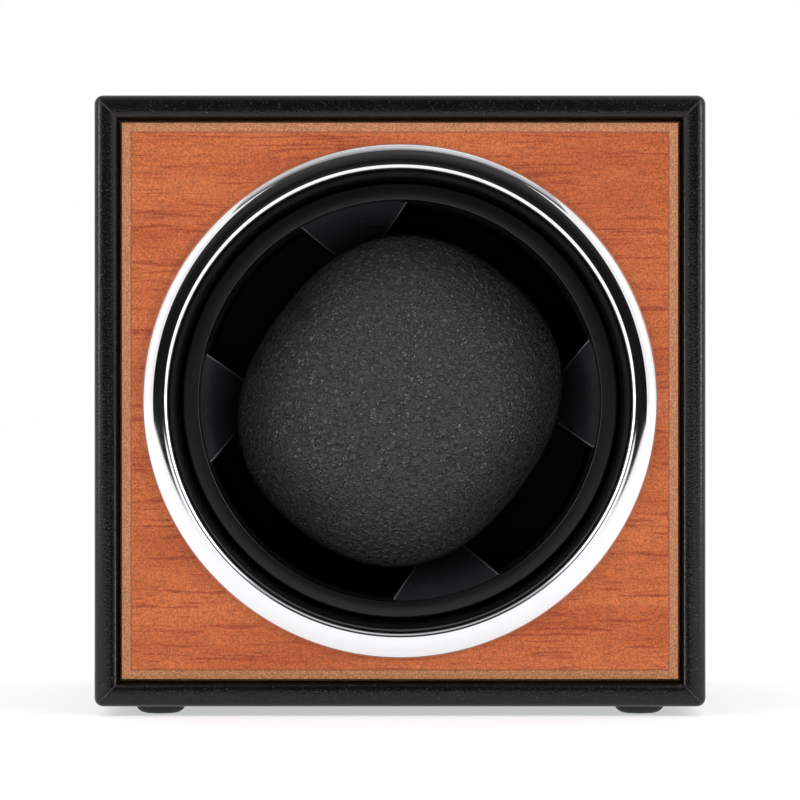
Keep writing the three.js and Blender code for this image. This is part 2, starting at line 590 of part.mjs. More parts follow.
function buildFeet() {
  const dome = [[0, 0], [FOOT_FLAT_R, 0], [FOOT_R - 0.5, 0.35 * FOOT_H], [FOOT_R, 0.75 * FOOT_H],
    [FOOT_R, FOOT_H], [0, FOOT_H]];
  const middleY = (RIM_Y + BACK_Y) / 2;
  const reachY = (BACK_Y - RIM_Y) / 2 - (CASE_HALF - FOOT_X);
  [[-1, -1], [1, -1], [-1, 1], [1, 1]].forEach(([sx, sy], i) => {
    const foot = turned(dome, 20).rotateX(Math.PI / 2);
    add(winder, `foot_${i + 1}`, foot.translate(sx * FOOT_X, middleY + sy * reachY, 0), 'rubber');
  });
}

buildCase();
buildHousing();
buildCup();
buildShaft();
buildPillow();
buildDrive();
buildBack();
buildControls();
buildFeet();

export default winder;
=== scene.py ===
"""A single watch winder: a leatherette box with a wood front, a chrome ring, and a turning cup with a pillow.

Metres, +Z up, the front faces -Y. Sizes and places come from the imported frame.
"""

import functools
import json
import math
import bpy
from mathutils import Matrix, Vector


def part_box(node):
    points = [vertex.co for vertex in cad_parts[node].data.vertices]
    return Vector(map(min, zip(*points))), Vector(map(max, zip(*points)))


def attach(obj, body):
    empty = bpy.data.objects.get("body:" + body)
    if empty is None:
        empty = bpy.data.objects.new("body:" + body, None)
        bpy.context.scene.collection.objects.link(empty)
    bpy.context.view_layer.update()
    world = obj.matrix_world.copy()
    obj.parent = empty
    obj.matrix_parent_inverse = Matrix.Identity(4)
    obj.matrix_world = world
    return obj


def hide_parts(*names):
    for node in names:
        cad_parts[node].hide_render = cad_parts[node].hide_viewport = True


bl_info = {
    "name": "Watch Winder Box",
    "version": (1, 0, 0),
    "blender": (4, 5, 0),
    "location": "View3D > Sidebar > Winder",
    "description": "Builds the pieces of a single watch winder around its frame",
    "category": "Add Mesh",
}

import bmesh
import bpy
from mathutils import Matrix, Vector

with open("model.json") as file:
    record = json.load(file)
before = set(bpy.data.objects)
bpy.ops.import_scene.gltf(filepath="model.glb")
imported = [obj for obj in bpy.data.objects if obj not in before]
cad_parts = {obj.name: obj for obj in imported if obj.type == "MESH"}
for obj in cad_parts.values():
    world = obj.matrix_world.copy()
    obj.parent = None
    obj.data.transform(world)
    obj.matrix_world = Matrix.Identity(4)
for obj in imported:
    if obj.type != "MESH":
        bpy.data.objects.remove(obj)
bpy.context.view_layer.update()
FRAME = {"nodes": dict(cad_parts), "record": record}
MM = 0.001


def joint_place(name):
    """Where a joint's axis passes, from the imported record."""
    joints = FRAME["record"]["behaviour"]["joints"]
    return Vector(next(j["pos_m"] for j in joints if j["name"] == name))


def middle(node):
    """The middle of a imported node's box."""
    low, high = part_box(node)
    return (low + high) / 2


AXIS_Z = joint_place("cup_spin").z
AXIS = Vector((0, 0, AXIS_Z))
WRAP_LOW, WRAP_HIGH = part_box("leather_wrap")
PANEL_LOW, PANEL_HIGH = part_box("wood_panel")
RING_LOW, RING_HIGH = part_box("chrome_ring")
CUP_LOW, CUP_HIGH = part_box("cup")
HOUSING_LOW, HOUSING_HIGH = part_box("drum_housing")
BACK_LOW, BACK_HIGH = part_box("back_panel")

# The cup's cross is turned to the strap. Each arm has half its width, its floor, and the way across it.
STRAP_TILT = math.radians(53)
STRAP_ALONG = Vector((math.cos(STRAP_TILT), 0, math.sin(STRAP_TILT)))
STRAP_ACROSS = Vector((-math.sin(STRAP_TILT), 0, math.cos(STRAP_TILT)))
ARMS = ((21.7 * MM, -4 * MM, STRAP_ACROSS), (15 * MM, -18 * MM, STRAP_ALONG))

# The pillow's bulk: a roundness of 2 would be an ellipsoid, and a large one a box.
PILLOW_ROUNDNESS = 2.4
PILLOW_HALF = (31.8 * MM, 22 * MM, 29 * MM)
PILLOW_MIDDLE = Vector((0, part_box("pillow_core")[0][1] + 20.7 * MM, AXIS_Z))

# The controls stand in one row on the back panel.
CONTROL_Z = joint_place("knob_turn").z
KNOB_PLACE = (joint_place("knob_turn").x, 0, CONTROL_Z)
JACK_PLACE = (middle("dc_jack").x, 0, CONTROL_Z)
LED_PLACE = (middle("indicator_led").x, 0, CONTROL_Z)
LED_RADIUS = 1.5 * MM
ROCKER_X = joint_place("rocker_tip").x


# ---- Modelling ----


def deselect():
    bpy.ops.object.select_all(action="DESELECT")


def take(obj):
    """Makes one object the only one selected, and active."""
    deselect()
    obj.select_set(True)
    bpy.context.view_layer.objects.active = obj


def named(name):
    """The primitive that was just added, under its own name."""
    obj = bpy.context.object
    obj.name = obj.data.name = name
    return obj


class Editing:
    """Edit mode on one object, with faces and edges selected by their place."""

    def __init__(self, obj):
        self.obj = obj

    def __enter__(self):
        take(self.obj)
        bpy.ops.object.mode_set(mode="EDIT")
        bpy.ops.mesh.select_all(action="DESELECT")
        return self

    def __exit__(self, *problem):
        bpy.ops.object.mode_set(mode="OBJECT")

    def all(self):
        bpy.ops.mesh.select_all(action="SELECT")

    def faces(self, test):
        """Selects the faces whose centre and normal pass the test."""
        bpy.ops.mesh.select_mode(type="FACE")
        bpy.ops.mesh.select_all(action="DESELECT")
        mesh = bmesh.from_edit_mesh(self.obj.data)
        for face in mesh.faces:
            face.select_set(bool(test(face.calc_center_median(), face.normal)))
        bmesh.update_edit_mesh(self.obj.data)

    def edges(self, test):
        """Selects the edges whose two ends pass the test."""
        bpy.ops.mesh.select_mode(type="EDGE")
        bpy.ops.mesh.select_all(action="DESELECT")
        mesh = bmesh.from_edit_mesh(self.obj.data)
        for edge in mesh.edges:
            edge.select_set(bool(test(*(v.co for v in edge.verts))))
        bmesh.update_edit_mesh(self.obj.data)


def block(name, low, high):
    """A cube stretched between two corners."""
    deselect()
    low, high = Vector(low), Vector(high)
    bpy.ops.mesh.primitive_cube_add(size=1, location=(low + high) / 2, scale=high - low)
    bpy.ops.object.transform_apply(location=True, rotation=True, scale=True)
    return named(name)


def rounded(corners, steps=5):
    """An outline with rounded corners. Each corner is (radius, height), and may have its rounding third."""
    outline = []
    for i, corner in enumerate(corners):
        here = Vector(corner[:2])
        if len(corner) < 3:
            outline.append(tuple(here))
            continue
        back = (Vector(corners[i - 1][:2]) - here).normalized()
        on = (Vector(corners[(i + 1) % len(corners)][:2]) - here).normalized()
        half = back.angle(on) / 2
        centre = here + (back + on).normalized() * corner[2] / math.sin(half)
        first = here + back * corner[2] / math.tan(half) - centre
        last = here + on * corner[2] / math.tan(half) - centre
        sweep = first.angle_signed(last)
        outline += [tuple(centre + Matrix.Rotation(-sweep * k / steps, 2) @ first) for k in range(steps + 1)]
    return outline


def turned(name, outline, place=AXIS, steps=48, upright=False):
    """Spins a section of (radius, height) points, in metres, round a line through a place.

    The line runs along Y, or along Z for an upright piece, and the heights are along it.
    """
    deselect()
    bpy.ops.mesh.primitive_circle_add(vertices=len(outline), fill_type="NOTHING")
    obj = named(name)
    x, y, z = place
    for vertex, (radius, height) in zip(obj.data.vertices, outline):
        vertex.co = (x + radius, y, height) if upright else (x + radius, height, z)
    with Editing(obj) as edit:
        edit.all()
        axis = (0, 0, 1) if upright else (0, 1, 0)
        bpy.ops.mesh.spin(steps=steps, angle=math.tau, center=place, axis=axis)
        edit.all()
        bpy.ops.mesh.remove_doubles(threshold=2e-6)
        edit.all()
        bpy.ops.mesh.delete_loose(use_verts=True, use_edges=True, use_faces=False)
        edit.all()
        bpy.ops.mesh.normals_make_consistent(inside=False)
    return obj


def rod(name, radius, low, high, place=AXIS, steps=48):
    return turned(name, [(0, low), (radius, low), (radius, high), (0, high)], place, steps)


def modified(obj, kind, **settings):
    """Adds a modifier, sets it and applies it."""
    take(obj)
    modifier = obj.modifiers.new("shape", kind)
    for key, value in settings.items():
        setattr(modifier, key, value)
    bpy.ops.object.modifier_apply(modifier=modifier.name)
    return obj


def carved(obj, *tools, operation="DIFFERENCE"):
    """Cuts tools out of a piece, or joins them to it, and removes the tools.

    They all cut at once: where two cuts cross, one after the other can leave the mesh open.
    """
    group = bpy.data.collections.new("tools")
    for tool in tools:
        group.objects.link(tool)
    modified(obj, "BOOLEAN", operand_type="COLLECTION", collection=group, operation=operation, solver="EXACT")
    bpy.data.collections.remove(group)
    for tool in tools:
        bpy.data.objects.remove(tool)
    return obj


def softened(obj, width, segments=2, degrees=30):
    """Rounds the sharp edges a little."""
    return modified(obj, "BEVEL", width=width, segments=segments, limit_method="ANGLE",
                    angle_limit=math.radians(degrees), use_clamp_overlap=False, harden_normals=False)


def shaded(obj, degrees=35):
    take(obj)
    bpy.ops.object.shade_smooth_by_angle(angle=math.radians(degrees))
    return obj


def copied(obj, name, offset):
    """A copy with its own mesh, moved by an offset."""
    other = obj.copy()
    other.data = obj.data.copy()
    other.name = other.data.name = name
    other.data.transform(Matrix.Translation(offset))
    bpy.context.collection.objects.link(other)
    return other


def quarter(steps):
    """The angles of a quarter turn, in even steps."""
    return [i / steps * math.pi / 2 for i in range(steps + 1)]


def fitted(obj, body, slot, finishes, *nodes):
    """Gives a finished piece its body and its materials, and hides the nodes that it stands for. The slot is
    not used.
    """
    obj.data.materials.clear()
    for finish in finishes:
        obj.data.materials.append(FINISHES[finish]())
    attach(obj, body)
    if nodes:
        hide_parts(*nodes)
    return obj


# ---- Shader maths ----


class Value:
    """A shader socket that takes part in sums like a number."""

    def __init__(self, shader, socket):
        self.shader = shader
        self.socket = socket

    def maths(self, operation, a, b):
        node = self.shader.node("ShaderNodeMath", {"operation": operation}, {0: a, 1: b})
        return Value(self.shader, node.outputs[0])

    def __add__(self, other):
        return self.maths("ADD", self, other)

    def __radd__(self, other):
        return self.maths("ADD", other, self)

    def __sub__(self, other):
        return self.maths("SUBTRACT", self, other)

    def __rsub__(self, other):
        return self.maths("SUBTRACT", other, self)

    def __mul__(self, other):
        return self.maths("MULTIPLY", self, other)

    def __rmul__(self, other):
        return self.maths("MULTIPLY", other, self)

    def __pow__(self, other):
        return self.maths("POWER", self, other)

    def __abs__(self):
        return self.maths("ABSOLUTE", self, 0.0)


class Finish:
    """One material: a Principled shader, its constants, and what varies over the surface."""

    def __init__(self, name, **constants):
        self.material = bpy.data.materials.new(name)
        self.material.use_nodes = True
        self.tree = self.material.node_tree
        self.shader = self.tree.nodes["Principled BSDF"]
        for key, value in constants.items():
            self.shader.inputs[key.replace("_", " ").title().replace("Ior", "IOR")].default_value = value
        self.place = self.node("ShaderNodeTexCoord", {}, {}).outputs["Object"]

    def node(self, kind, settings, values):
        """Adds a node. Its settings are set first, and then the values or links of its sockets."""
        node = self.tree.nodes.new(kind)
        for key, value in settings.items():
            setattr(node, key, value)
        for key, value in values.items():
            if isinstance(value, Value):
                value = value.socket
            if isinstance(value, bpy.types.NodeSocket):
                self.tree.links.new(value, node.inputs[key])
            else:
                node.inputs[key].default_value = value
        return node

    def value(self, kind, settings, values, output=0):
        return Value(self, self.node(kind, settings, values).outputs[output])

    def stretched(self, scale=(1, 1, 1), origin=(0, 0, 0), vector=None):
        """Object coordinates, or a vector, moved to an origin and stretched."""
        offset = [-o * s for o, s in zip(origin, scale)]
        return self.node("ShaderNodeMapping", {}, {"Vector": vector or self.place, "Location": offset,
                                                   "Scale": scale}).outputs[0]

    def noise(self, size, detail=3.0, roughness=0.55, vector=None):
        """Noise with features of a size in metres, or of 1 on a vector that is already stretched."""
        return self.value("ShaderNodeTexNoise", {}, {"Vector": vector or self.place, "Scale": 1 / size,
                                                     "Detail": detail, "Roughness": roughness})

    def cells(self, size, smoothness=0.3, vector=None):
        """Distance to the middle of the nearest cell, 0 in the middle."""
        return self.value("ShaderNodeTexVoronoi", {"feature": "SMOOTH_F1"},
                          {"Vector": vector or self.place, "Scale": 1 / size, "Smoothness": smoothness})

    def shaken(self, size, amount):
        """Object coordinates pushed about by noise, for shapes that aren't regular."""
        noise = self.node("ShaderNodeTexNoise", {}, {"Vector": self.place, "Scale": 1 / size, "Detail": 2.0})
        centred = self.vector("SUBTRACT", {0: noise.outputs["Color"], 1: (0.5, 0.5, 0.5)})
        return self.vector("ADD", {0: self.place, 1: self.scaled(centred, amount)})

    def span(self, value, low, high, to_low=0.0, to_high=1.0):
        """A value stretched smoothly from one range to another."""
        ranges = {"Value": value, "From Min": low, "From Max": high, "To Min": to_low, "To Max": to_high}
        return self.value("ShaderNodeMapRange", {"interpolation_type": "SMOOTHSTEP"}, ranges)

    def mix(self, factor, low, high):
        """One colour into another."""
        node = self.node("ShaderNodeMix", {"data_type": "RGBA"}, {0: factor, 6: paint(low), 7: paint(high)})
        return node.outputs[2]

    def vector(self, operation, values):
        """A sum on vectors or colours."""
        return self.node("ShaderNodeVectorMath", {"operation": operation}, values).outputs[0]

    def scaled(self, vector, value):
        """A vector or a colour times a value."""
        return self.vector("SCALE", {0: vector, "Scale": value})

    def parts(self, vector):
        """A vector's x, y and z as values."""
        split = self.node("ShaderNodeSeparateXYZ", {}, {0: vector})
        return [Value(self, socket) for socket in split.outputs]

    def bump(self, height, depth, strength=1.0, under=None):
        """Normals raised by a height from 0 to 1, depth metres deep."""
        values = {"Height": height, "Distance": depth, "Strength": strength}
        if under is not None:
            values["Normal"] = under
        return self.node("ShaderNodeBump", {}, values).outputs[0]

    def feed(self, **links):
        """Links what varies to the shader, and returns the material."""
        for key, value in links.items():
            socket = value.socket if isinstance(value, Value) else value
            self.tree.links.new(socket, self.shader.inputs[key.replace("_", " ").title()])
        return self.material


def paint(colour):
    """A colour as four numbers, or a socket as it is."""
    if isinstance(colour, (bpy.types.NodeSocket, Value)):
        return colour
    return (*tuple(colour)[:3], 1.0)


def shade(colour, factor):
    """A colour made lighter or darker."""
    return tuple(min(1.0, c * factor) for c in tuple(colour)[:3])


# ---- Materials ----


def colours():
    return bpy.context.scene.winder_colours


def sizes():
    return bpy.context.scene.winder_sizes


FINISHES = {}


def finish_maker(make):
    """Keeps a material's maker under its own name. The material is made once, when it is first asked for."""
    FINISHES[make.__name__] = functools.cache(make)
    return make


@finish_maker
def leatherette():
    """Pebbled black leatherette, pulled smoother over the rims, with thin mitred joints at their corners
    painted lighter as a highlight, and tiny spots of painted highlight in the grain.
    """
    base = colours().leather
    f = Finish("leatherette", specular_ior_level=0.34)
    grain = sizes().case_grain
    pebble = 1 - f.cells(grain, 0.35, f.shaken(grain * 1.6, grain * 0.9)) * 1.5
    fine = f.noise(grain * 0.4, 2.0)
    x, y, z = f.parts(f.stretched(origin=AXIS))
    half_way = middle("leather_wrap").y
    reach = WRAP_HIGH[1] - half_way
    pulled = f.span(abs(y - half_way), reach - 4 * MM, reach - MM)
    height = (pebble * 0.8 + fine * 0.2) * (1 - pulled * 0.68)
    # The mitre joints are real seams, painted twenty times lighter than the leather as a painted highlight
    # along each seam.
    joint = f.span(abs(abs(x) - abs(z)), 0.05 * MM, 0.26 * MM, 1.0, 0.0)
    _, facing, _ = f.parts(f.node("ShaderNodeNewGeometry", {}, {}).outputs["Normal"])
    joint = joint * f.span(abs(facing), 0.5, 0.8)
    unevenness = f.noise(14 * MM, 2.0)
    # Tiny spots painted thirty times lighter than the leather: painted highlights on the grain.
    painted_grain_highlights = f.span(f.noise(0.3 * MM, 1.0), 0.66, 0.74)
    low = f.mix(unevenness, shade(base, 0.75), shade(base, 1.25))
    tone = f.mix(joint * 0.6, f.mix(painted_grain_highlights * 0.5, low, shade(base, 30.0)), shade(base, 20.0))
    rough = 0.36 + f.noise(5 * MM) * 0.14 - pulled * 0.2
    grained = f.bump(height, sizes().case_grain_depth, 0.85)
    return f.feed(base_color=tone, roughness=rough, normal=f.bump(1 - joint, 0.25 * MM, 0.8, grained))


@finish_maker
def fibreboard():
    base = colours().raw_board
    f = Finish("fibreboard")
    fibres = f.noise(0.5 * MM, 6.0, 0.7)
    flecks = f.span(f.noise(1.0, 3.0, vector=f.stretched((260, 1500, 1500))), 0.55, 0.75)
    tone = f.mix(fibres, shade(base, 0.7), shade(base, 1.25))
    return f.feed(base_color=f.mix(flecks * 0.5, tone, shade(base, 0.45)), roughness=0.75 + fibres * 0.2,
                  normal=f.bump(fibres, 0.1 * MM, 0.5))


@finish_maker
def cherry():
    """Veneer with its grain lying across the front: clouds of tone, thin growth lines, pores and speckle."""
    red, pale, dark = colours().wood_red, colours().wood, colours().wood_streak
    f = Finish("cherry_veneer", specular_ior_level=0.3)
    wavy = f.shaken(16 * MM, 1.3 * MM)
    clouds = f.noise(1.0, 3.0, 0.6, vector=f.stretched((16, 16, 95), vector=wavy))
    lines = f.noise(1.0, 3.0, 0.6, vector=f.stretched((70, 70, 1250), vector=wavy))
    fine = f.noise(1.0, 2.0, 0.6, vector=f.stretched((200, 200, 2900), vector=wavy))
    pores = f.span(f.noise(1.0, 1.0, vector=f.stretched((420, 420, 3600))), 0.62, 0.72)
    speckle = f.span(f.noise(0.3 * MM, 2.0, 0.8), 0.34, 0.66)
    tone = f.mix(f.span(clouds, 0.36, 0.64), red, pale)
    tone = f.mix(f.span(lines, 0.57, 0.63) * 0.62, tone, dark)
    tone = f.mix(f.span(fine, 0.56, 0.68) * 0.3, tone, dark)
    tone = f.mix(pores * 0.4, tone, shade(dark, 0.6))
    tone = f.scaled(tone, 0.68 + speckle * 0.64)
    height = 1 - f.span(lines, 0.53, 0.66) * 0.4 - pores * 0.4 + speckle * 0.15
    return f.feed(base_color=tone, roughness=0.48 + speckle * 0.08, normal=f.bump(height, 0.03 * MM, 0.4))


@finish_maker
def board_edge():
    """The chamfer, cut through the veneer into pale pressed board, with a darker line along the veneer."""
    base = colours().wood_edge
    f = Finish("wood_edge")
    grains = f.span(f.noise(0.3 * MM, 2.0, 0.8), 0.34, 0.66)
    patches = f.noise(1.4 * MM, 2.0)
    x, _, z = f.parts(f.stretched(origin=AXIS))
    reach = f.value("ShaderNodeMath", {"operation": "MAXIMUM"}, {0: abs(x), 1: abs(z)})
    face_edge = PANEL_HIGH[0] - sizes().chamfer_width
    ragged = reach + f.noise(0.7 * MM, 3.0) * (0.3 * MM)
    veneer = f.span(ragged, face_edge + 0.25 * MM, face_edge + 0.5 * MM, 1.0, 0.0)
    tone = f.mix(veneer * 0.7, f.mix(patches, shade(base, 0.85), shade(base, 1.15)), colours().wood_streak)
    tone = f.scaled(tone, 0.55 + grains * 0.85)
    return f.feed(base_color=tone, roughness=0.65 + grains * 0.2, normal=f.bump(grains, 0.08 * MM, 0.7))


@finish_maker
def chrome():
    f = Finish("ring_chrome", metallic=1.0, base_color=(*colours().chrome, 1.0))
    smears = f.noise(9 * MM, 3.0)
    brushed = f.noise(1.0, 2.0, vector=f.stretched((60, 2200, 60)))
    rough = sizes().chrome_roughness + f.span(smears, 0.5, 0.8) * 0.03
    return f.feed(roughness=rough, normal=f.bump(brushed, 0.005 * MM, 0.5))


@finish_maker
def gloss_black():
    base = colours().gloss
    f = Finish("housing_gloss", coat_weight=0.4, coat_roughness=0.04)
    smears = f.noise(6 * MM, 3.0)
    dust = f.span(f.cells(1.6 * MM, 0.0), 0.02, 0.06, 1.0, 0.0)
    tone = f.mix(smears, shade(base, 0.8), shade(base, 1.3))
    return f.feed(base_color=f.mix(dust * 0.25, tone, (0.1, 0.1, 0.1)), roughness=0.1 + smears * 0.08,
                  normal=f.bump(f.noise(18 * MM, 1.0), 0.05 * MM, 0.3))


@finish_maker
def satin_black():
    """Moulded plastic of the cup, with a very fine spark-eroded texture."""
    base = colours().cup
    f = Finish("cup_satin", specular_ior_level=0.3)
    texture = f.noise(0.14 * MM, 2.0)
    broad = f.noise(11 * MM, 2.0)
    tone = f.mix(broad, shade(base, 0.85), shade(base, 1.2))
    return f.feed(base_color=tone, roughness=0.19 + broad * 0.08, normal=f.bump(texture, 0.012 * MM, 0.3))


@finish_maker
def arm_painted_shade():
    """A much darker copy of the cup's black on its deep arms: painted shade where the arms lie in shadow."""
    base = colours().cup
    f = Finish("cup_recess", specular_ior_level=0.15)
    broad = f.noise(11 * MM, 2.0)
    tone = f.mix(broad, shade(base, 0.2), shade(base, 0.35))
    return f.feed(base_color=tone, roughness=0.6 + broad * 0.1)


@finish_maker
def petal_painted_light():
    """The four polished petals between the arms, the cup's black painted paler as painted light falling on
    them, with a painted highlight line along their edges.
    """
    base = colours().petal
    f = Finish("cup_petal")
    x, _, z = f.parts(f.stretched(origin=AXIS))
    # A painted highlight line along each petal's edges, where they meet the arms.
    edge = 0.0
    for half, _, across in ARMS:
        away = abs(x * across.x + z * across.z)
        edge = f.span(abs(away - half), 0.12 * MM, 0.32 * MM, 1.0, 0.0) + edge
    broad = f.noise(9 * MM, 2.0)
    tone = f.mix(edge * 0.8, f.mix(broad, shade(base, 0.6), shade(base, 1.3)), shade(base, 8.0))
    return f.feed(base_color=tone, roughness=0.24 + broad * 0.1,
                  normal=f.bump(f.noise(0.2 * MM), 0.01 * MM, 0.3))


@finish_maker
def pillow_leather():
    """Soft charcoal leatherette: irregular pebbles parted by winding creases, over a slower unevenness, with
    painted shade in the creases and a painted highlight along the pebbles' edges.
    """
    base = colours().pillow
    f = Finish("pillow_leather", sheen_weight=0.08, sheen_roughness=0.5)
    grain = sizes().pillow_grain
    winding = f.shaken(grain * 1.4, grain * 1.5)
    pebble = f.cells(grain, 0.25, winding)
    small = f.cells(grain * 0.45, 0.3, f.shaken(grain, grain * 0.6))
    crease = f.span(pebble, 0.34, 0.62)
    slow = f.noise(9 * MM, 3.0)
    height = (1 - crease) * 0.65 + (1 - small) * 0.25 + slow * 0.1
    # Darker in the creases and between the small pebbles: painted shade in the grain's hollows.
    tone = f.mix(crease * 0.5 + small * 0.15, shade(base, 1.15), shade(base, 0.5))
    tone = f.mix(slow * 0.5, tone, shade(base, 0.85))
    # A painted highlight along the pebbles' edges, six times lighter than the cover.
    painted_pebble_highlight = f.span(abs(pebble - 0.42), 0.01, 0.06, 1.0, 0.0) * f.span(f.noise(grain * 0.9), 0.48, 0.6)
    tone = f.mix(painted_pebble_highlight * 0.55, tone, shade(base, 6.0))
    rough = 0.2 + crease * 0.3 + slow * 0.08
    return f.feed(base_color=tone, roughness=rough, normal=f.bump(height, sizes().pillow_grain_depth))


@finish_maker
def thread():
    base = colours().thread
    f = Finish("thread")
    fibres = f.noise(0.12 * MM, 3.0)
    return f.feed(base_color=f.mix(fibres, shade(base, 0.6), shade(base, 1.3)), roughness=0.6 + fibres * 0.2,
                  normal=f.bump(fibres, 0.05 * MM, 0.6))


def moulded(name, colour_name, rough, grain):
    """Plain moulded plastic with a fine texture."""
    base = getattr(colours(), colour_name)
    f = Finish(name)
    texture = f.noise(grain, 3.0)
    broad = f.noise(8 * MM, 2.0)
    tone = f.mix(broad, shade(base, 0.85), shade(base, 1.15))
    return f.feed(base_color=tone, roughness=rough - 0.05 + broad * 0.1,
                  normal=f.bump(texture, 0.03 * MM, 0.45))


@finish_maker
def foam():
    f = Finish("foam")
    pores = f.cells(0.8 * MM, 0.1)
    base = colours().foam
    return f.feed(base_color=f.mix(pores, shade(base, 1.1), shade(base, 0.6)), roughness=0.85 + pores * 0.1,
                  normal=f.bump(1 - pores, 0.3 * MM, 0.8))


def metal(name, rough):
    """Machined metal with fine tool lines round the axes."""
    base = getattr(colours(), name)
    f = Finish(name, metallic=1.0)
    tool_lines = f.noise(1.0, 2.0, vector=f.stretched((300, 5200, 300)))
    smears = f.noise(7 * MM, 3.0)
    tone = f.mix(smears, shade(base, 0.85), shade(base, 1.08))
    return f.feed(base_color=tone, roughness=rough + tool_lines * 0.1 + smears * 0.06,
                  normal=f.bump(tool_lines, 0.006 * MM, 0.4))


@finish_maker
def circuit():
    """Green board with paler tracks under the lacquer."""
    base = colours().circuit
    f = Finish("circuit_board", coat_weight=0.3, coat_roughness=0.15)
    tracks = f.value("ShaderNodeTexBrick", {"offset": 0.37, "squash": 1.0},
                     {"Vector": f.stretched((160, 160, 160)), "Scale": 1.0, "Mortar Size": 0.045}, "Fac")
    weave = f.noise(0.4 * MM, 2.0)
    tone = f.mix(weave, shade(base, 0.8), shade(base, 1.2))
    return f.feed(base_color=f.mix(tracks * 0.6, tone, shade(base, 2.2)), roughness=0.35 + weave * 0.1,
                  normal=f.bump(tracks, 0.03 * MM, 0.6))


@finish_maker
def lens():
    f = Finish("lamp_lens", coat_weight=0.6, coat_roughness=0.05, emission_strength=0.25)
    base = colours().lamp
    x, _, z = f.parts(f.stretched(origin=LED_PLACE))
    centre = f.span((x * x + z * z) ** 0.5, 0.0, LED_RADIUS, 1.0, 0.35)
    return f.feed(base_color=f.mix(centre, shade(base, 0.4), base), roughness=0.12 + centre * 0.08,
                  emission_color=f.mix(centre, shade(base, 0.1), base))


for key, name, colour_name, rough, grain in (
        ("panel_black", "panel_black", "panel", 0.55, 0.4 * MM),
        ("control_black", "control_black", "controls", 0.32, 0.2 * MM),
        ("nylon", "nylon", "nylon", 0.45, 0.25 * MM),
        ("rubber", "foot_rubber", "rubber", 0.7, 0.3 * MM),
        ("lead_cover", "lead_cover", "lead", 0.45, 0.25 * MM),
        ("print_white", "printed_marks", "marks", 0.5, 0.1 * MM)):
    FINISHES[key] = functools.cache(functools.partial(moulded, name, colour_name, rough, grain))

for name, rough in (("steel", 0.22), ("bronze", 0.28)):
    FINISHES[name] = functools.cache(functools.partial(metal, name, rough))


# ---- Settings ----


def length(name, description, millimetres):
    return bpy.props.FloatProperty(name=name, description=description, default=millimetres * MM, min=0.0,
                                   subtype="DISTANCE", unit="LENGTH", precision=5)


def colour(name, description, default):
    return bpy.props.FloatVectorProperty(name=name, description=description, default=default, size=3, min=0.0,
                                         max=1.0, subtype="COLOR")


class WinderSizes(bpy.types.PropertyGroup):
    """The sizes that shape the visible surfaces."""

    rim_width: length("Rim", "Width of the leather rim round the wood panel", 4.5)
    rim_round: length("Rim rounding", "Rounding of the wrapped edges", 1.6)
    lip: length("Lip", "How far the leatherette turns in at the front and back", 7.1)
    skin: length("Skin", "Thickness of the leatherette", 0.7)
    chamfer_width: length("Chamfer width", "Width of the wood panel's chamfer, seen from the front", 1.9)
    chamfer_depth: length("Chamfer depth", "Depth of the wood panel's chamfer", 1.3)
    case_grain: length("Case grain", "Size of a pebble in the box's leatherette", 0.45)
    case_grain_depth: length("Case grain depth", "Height of the box's leather grain", 0.09)
    pillow_grain: length("Pillow grain", "Size of a pebble in the pillow's leatherette", 1.3)
    pillow_grain_depth: length("Pillow grain depth", "Height of the pillow's leather grain", 1.3)
    chrome_roughness: bpy.props.FloatProperty(
        name="Chrome roughness", description="How blurred the ring's mirror is", default=0.05, min=0, max=1)


class WinderColours(bpy.types.PropertyGroup):
    """The colours of the finishes."""

    leather: colour("Leatherette", "Black of the box's wrap", (0.0026, 0.0022, 0.0026))
    raw_board: colour("Board", "Fibreboard of the case", (0.32, 0.2, 0.1))
    wood: colour("Wood", "Paler tone of the veneer", (0.42, 0.105, 0.03))
    wood_red: colour("Wood red", "Redder tone of the veneer", (0.34, 0.07, 0.017))
    wood_streak: colour("Wood streak", "Darker lines of the veneer", (0.21, 0.025, 0.0075))
    wood_edge: colour("Wood edge", "Pale chamfer of the wood panel", (0.4, 0.16, 0.063))
    chrome: colour("Chrome", "Plating of the ring", (0.86, 0.86, 0.88))
    gloss: colour("Housing", "Gloss black of the drum housing", (0.004, 0.004, 0.0042))
    cup: colour("Cup", "Satin black of the cup", (0.0035, 0.0035, 0.004))
    # The petals' colour is the cup's black painted paler: painted light on the petals.
    petal: colour("Petals", "Paler black of the petals inside the cup", (0.032, 0.031, 0.036))
    pillow: colour("Pillow", "Charcoal of the pillow's cover", (0.0155, 0.0142, 0.0162))
    thread: colour("Thread", "Seam thread of the pillow", (0.02, 0.019, 0.02))
    panel: colour("Back panel", "Matte black of the back panel", (0.016, 0.016, 0.017))
    controls: colour("Controls", "Satin black of the knob and rocker", (0.009, 0.009, 0.0095))
    nylon: colour("Nylon", "Natural nylon of the gears", (0.72, 0.68, 0.58))
    rubber: colour("Rubber", "Black of the feet", (0.014, 0.013, 0.0155))
    lead: colour("Lead", "Cover of the motor's lead", (0.38, 0.02, 0.016))
    foam: colour("Foam", "Foam inside the pillow", (0.48, 0.46, 0.41))
    steel: colour("Steel", "Shafts, screws and bracket", (0.56, 0.57, 0.58))
    bronze: colour("Bronze", "Bushes and spacers", (0.6, 0.4, 0.16))
    circuit: colour("Circuit board", "Green of the board's lacquer", (0.012, 0.1, 0.04))
    lamp: colour("Lamp", "Lens of the indicator lamp", (0.08, 0.5, 0.12))
    marks: colour("Marks", "Printed marks on the back", (0.72, 0.72, 0.7))


# ---- Pieces ----


class PieceOperator(bpy.types.Operator):
    """Shared by the operators that build pieces."""

    bl_options = {"REGISTER", "UNDO"}

    def execute(self, context):
        self.build(context.scene.winder_sizes)
        return {"FINISHED"}


